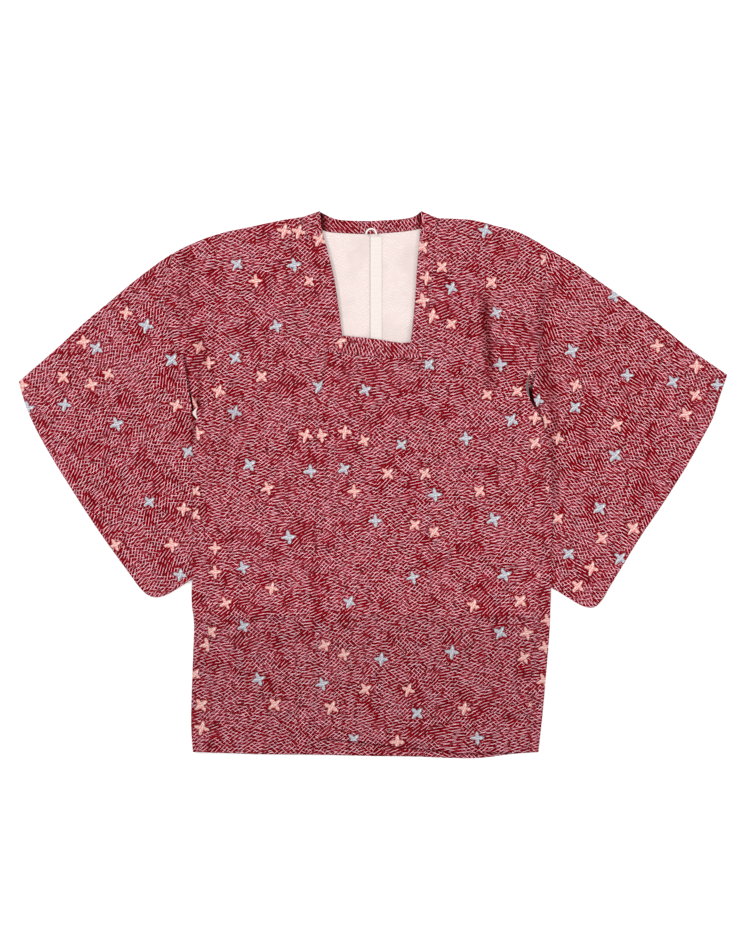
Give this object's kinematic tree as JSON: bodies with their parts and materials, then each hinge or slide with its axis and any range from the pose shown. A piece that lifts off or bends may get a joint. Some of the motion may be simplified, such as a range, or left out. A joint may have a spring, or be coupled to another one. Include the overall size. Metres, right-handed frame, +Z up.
{
  "type": "michiyuki kimono half-coat laid flat (haori-type overcoat)",
  "caption": "Short square-necked kimono overcoat with overlapping front bands, side gussets and wide square sleeves, laid flat on its back with the sleeves drawn down.",
  "frame": {"origin": "middle of the laid-out coat's bounding box, on the surface it lies on", "axes": "+Z up out of the surface, +Y from the hem towards the neck, +X towards the wearer's left sleeve"},
  "size_m": [1.204, 0.9299, 0.0105],
  "materials": {
    "crepe": "matt silk crepe, crimson with fine pale brush strokes and small grey and salmon star flowers",
    "seam_tape": "thin cream silk binding",
    "loop_cord": "white silk cord"
  },
  "bodies": {
    "root": {"body_right": "crepe", "body_left": "crepe", "sleeve_right": "crepe", "sleeve_left": "crepe", "gusset_right": "crepe", "gusset_left": "crepe", "front_band_under": "crepe", "front_band_upper": "crepe", "collar": "crepe", "collar_front": "crepe", "back_seam_tape": "seam_tape", "neck_loop": "loop_cord", "button_right": "crepe", "button_left": "crepe"}
  },
  "joints": []
}
